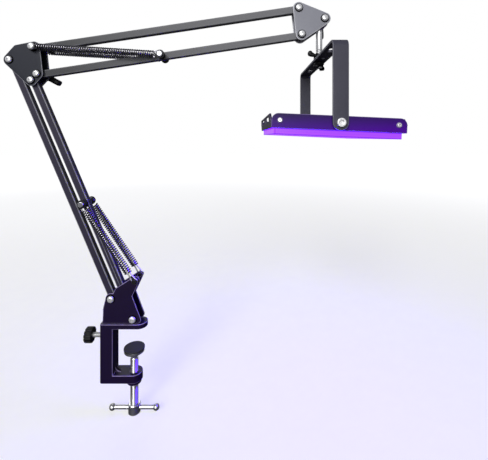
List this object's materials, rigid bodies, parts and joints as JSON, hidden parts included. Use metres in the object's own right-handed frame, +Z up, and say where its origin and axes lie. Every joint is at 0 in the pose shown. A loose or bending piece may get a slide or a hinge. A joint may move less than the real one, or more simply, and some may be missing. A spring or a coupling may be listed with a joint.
{
  "type": "screen printing exposure unit",
  "caption": "Slim UV LED flood lamp in a U-shaped yoke on a spring-balanced scissor arm with a table clamp, for hardening the coating of printing screens.",
  "frame": {"origin": "middle of the face under the clamp's upper jaw, which rests on the table top", "axes": "+Z up, +X from the table's edge inwards along the arm, +Y into depth, across the arm"},
  "size_m": [0.4694, 0.2064, 0.5221],
  "materials": {
    "black_paint": "satin black powder coat",
    "plate_paint": "satin dark grey coat",
    "bright_steel": "polished plating",
    "plated_steel": "zinc plated",
    "spring_steel": "black oiled wire",
    "black_plastic": "fine grained moulding",
    "rubber_pad": "matte",
    "housing": "black powder coat",
    "lens": "clear violet-lit window",
    "seal": "matte",
    "board": "white solder mask",
    "led": "violet emitters"
  },
  "bodies": {
    "clamp": {"clamp_frame": "black_paint", "thrust_washer": "black_plastic"},
    "clamp_pad": {"pad_cup": "plated_steel", "pad_face": "rubber_pad"},
    "clamp_screw": {"clamp_screw": "plated_steel", "tommy_bar": "plated_steel"},
    "lock_knob": {"lock_screw": "plated_steel", "lock_knob": "black_plastic"},
    "base": {"base_bracket": "black_paint", "swivel_post": "plated_steel", "ear_studs": "black_plastic", "base_bolts": "bright_steel", "base_nuts": "plated_steel", "base_washers": "black_plastic"},
    "lower_bar_a": {"lower_bar_left": "black_paint", "lower_left_plugs": "black_plastic"},
    "lower_bar_b": {"lower_bar_right": "black_paint", "lower_right_plugs": "black_plastic", "lower_anchor_bolt": "bright_steel", "lower_anchor_sleeves": "black_plastic"},
    "lower_spring_links": {"lower_spring_hooks": "plated_steel"},
    "lower_springs": {"lower_spring_near": "spring_steel", "lower_spring_far": "spring_steel"},
    "elbow": {"elbow_plate_near": "plate_paint", "elbow_plate_far": "plate_paint", "elbow_bolts": "bright_steel", "elbow_nuts": "plated_steel", "elbow_washers": "black_plastic"},
    "elbow_wing": {"elbow_wing_nut": "black_plastic"},
    "upper_bar_a": {"upper_bar_top": "black_paint", "upper_top_plugs": "black_plastic"},
    "upper_bar_b": {"upper_bar_bottom": "black_paint", "upper_bottom_plugs": "black_plastic", "upper_anchor_bolt": "bright_steel", "upper_anchor_sleeves": "black_plastic"},
    "upper_spring_links": {"upper_spring_hooks": "plated_steel"},
    "upper_springs": {"upper_spring_near": "spring_steel", "upper_spring_far": "spring_steel"},
    "head": {"head_plate_near": "plate_paint", "head_plate_far": "plate_paint", "head_bolts": "bright_steel", "head_nuts": "plated_steel", "head_washers": "black_plastic"},
    "head_wing": {"head_wing_nut": "black_plastic"},
    "stem": {"stem_knuckle": "black_paint", "stem_rod": "bright_steel"},
    "yoke": {"yoke": "black_paint"},
    "yoke_wing_top": {"yoke_wing_nut": "black_plastic"},
    "yoke_wing_low": {"yoke_lower_wing_nut": "black_plastic"},
    "lamp": {"lamp_shell": "housing", "lamp_end_near": "housing", "lamp_end_far": "housing", "lamp_screws": "bright_steel", "lamp_bolts": "bright_steel", "lamp_washers": "black_plastic", "lens": "lens", "lens_seal": "seal", "led_board": "board", "led_chips": "led", "cable_gland": "black_plastic"}
  },
  "joints": [
    {"name": "pad_travel", "type": "slide", "parent": "clamp", "child": "clamp_pad", "axis": [0, 0, 1], "range_m": [-0.019, 0.026]},
    {"name": "clamp_screw_turn", "type": "hinge", "parent": "clamp_pad", "child": "clamp_screw", "pos_m": [0.0035, 0, -0.105], "axis": [0, 0, 1], "range_deg": [-4600, 6280]},
    {"name": "lock_knob_turn", "type": "hinge", "parent": "clamp", "child": "lock_knob", "pos_m": [-0.054, 0, -0.0123], "axis": [1, 0, 0], "range_deg": [-360, 0]},
    {"name": "base_swivel", "type": "hinge", "parent": "clamp", "child": "base", "pos_m": [-0.02875, 0, 0.006], "axis": [0, 0, 1], "continuous": true},
    {"name": "lower_arm", "type": "hinge", "parent": "base", "child": "lower_bar_a", "pos_m": [-0.0233, 0, 0.0374], "axis": [0, 1, 0], "range_deg": [-5, 70]},
    {"name": "lower_right_bar", "type": "hinge", "parent": "base", "child": "lower_bar_b", "pos_m": [0.0039, 0, 0.0118], "axis": [0, 1, 0], "range_deg": [-5, 70]},
    {"name": "elbow_level", "type": "hinge", "parent": "lower_bar_a", "child": "elbow", "pos_m": [-0.15107, 0, 0.33841], "axis": [0, 1, 0], "range_deg": [-70, 5]},
    {"name": "lower_spring_swing", "type": "hinge", "parent": "base", "child": "lower_spring_links", "pos_m": [0.0078, 0, 0.0612], "axis": [0, 1, 0], "range_deg": [-8, 98], "deforming": ["lower_spring_hooks"]},
    {"name": "lower_spring_stretch", "type": "slide", "parent": "lower_spring_links", "child": "lower_springs", "axis": [-0.4955, 0, 0.8686], "range_m": [-0.001, 0.009], "deforming": ["lower_spring_near", "lower_spring_far"]},
    {"name": "elbow_wing_turn", "type": "hinge", "parent": "elbow", "child": "elbow_wing", "pos_m": [-0.11657, 0.014, 0.3206], "axis": [0, 1, 0], "continuous": true},
    {"name": "upper_arm", "type": "hinge", "parent": "elbow", "child": "upper_bar_b", "pos_m": [-0.11657, 0, 0.3206], "axis": [0, 1, 0], "range_deg": [-50, 45]},
    {"name": "upper_top_bar", "type": "hinge", "parent": "elbow", "child": "upper_bar_a", "pos_m": [-0.12027, 0, 0.3538], "axis": [0, 1, 0], "range_deg": [-50, 45]},
    {"name": "upper_spring_swing", "type": "hinge", "parent": "elbow", "child": "upper_spring_links", "pos_m": [-0.12027, 0, 0.3538], "axis": [0, 1, 0], "range_deg": [-45, 40], "deforming": ["upper_spring_hooks"]},
    {"name": "upper_spring_stretch", "type": "slide", "parent": "upper_spring_links", "child": "upper_springs", "axis": [0.8056, 0, -0.5925], "range_m": [-0.0333, 0.0301], "deforming": ["upper_spring_near", "upper_spring_far"]},
    {"name": "head_level", "type": "hinge", "parent": "upper_bar_b", "child": "head", "pos_m": [0.21673, 0, 0.37042], "axis": [0, 1, 0], "range_deg": [-45, 50]},
    {"name": "head_wing_turn", "type": "hinge", "parent": "head", "child": "head_wing", "pos_m": [0.24563, 0.014, 0.39042], "axis": [0, 1, 0], "continuous": true},
    {"name": "stem_tilt", "type": "hinge", "parent": "head", "child": "stem", "pos_m": [0.24563, 0, 0.39042], "axis": [0, 1, 0], "range_deg": [-80, 20]},
    {"name": "yoke_turn", "type": "hinge", "parent": "stem", "child": "yoke", "pos_m": [0.24023, 0, 0.33942], "axis": [0, 0, 1], "range_deg": [-180, 180]},
    {"name": "yoke_top_wing_turn", "type": "hinge", "parent": "stem", "child": "yoke_wing_top", "pos_m": [0.24023, 0, 0.34442], "axis": [0, 0, 1], "continuous": true},
    {"name": "yoke_low_wing_turn", "type": "hinge", "parent": "stem", "child": "yoke_wing_low", "pos_m": [0.24023, 0, 0.33142], "axis": [0, 0, 1], "continuous": true},
    {"name": "lamp_tilt", "type": "hinge", "parent": "yoke", "child": "lamp", "pos_m": [0.24023, 0, 0.25542], "axis": [0, 1, 0], "range_deg": [-70, 70]}
  ],
  "couplings": [
    {"joint": "clamp_screw_turn", "follows": "pad_travel", "rad_per_m": 4188.8},
    {"joint": "lower_right_bar", "follows": "lower_arm", "ratio": 1},
    {"joint": "elbow_level", "follows": "lower_arm", "ratio": -1},
    {"joint": "lower_spring_swing", "follows": "lower_arm", "ratio": 1.38},
    {"joint": "lower_spring_stretch", "follows": "lower_arm", "m_per_rad": 0.006539},
    {"joint": "upper_top_bar", "follows": "upper_arm", "ratio": 1},
    {"joint": "head_level", "follows": "upper_arm", "ratio": -1},
    {"joint": "upper_spring_swing", "follows": "upper_arm", "ratio": 0.85},
    {"joint": "upper_spring_stretch", "follows": "upper_arm", "m_per_rad": 0.03699}
  ]
}
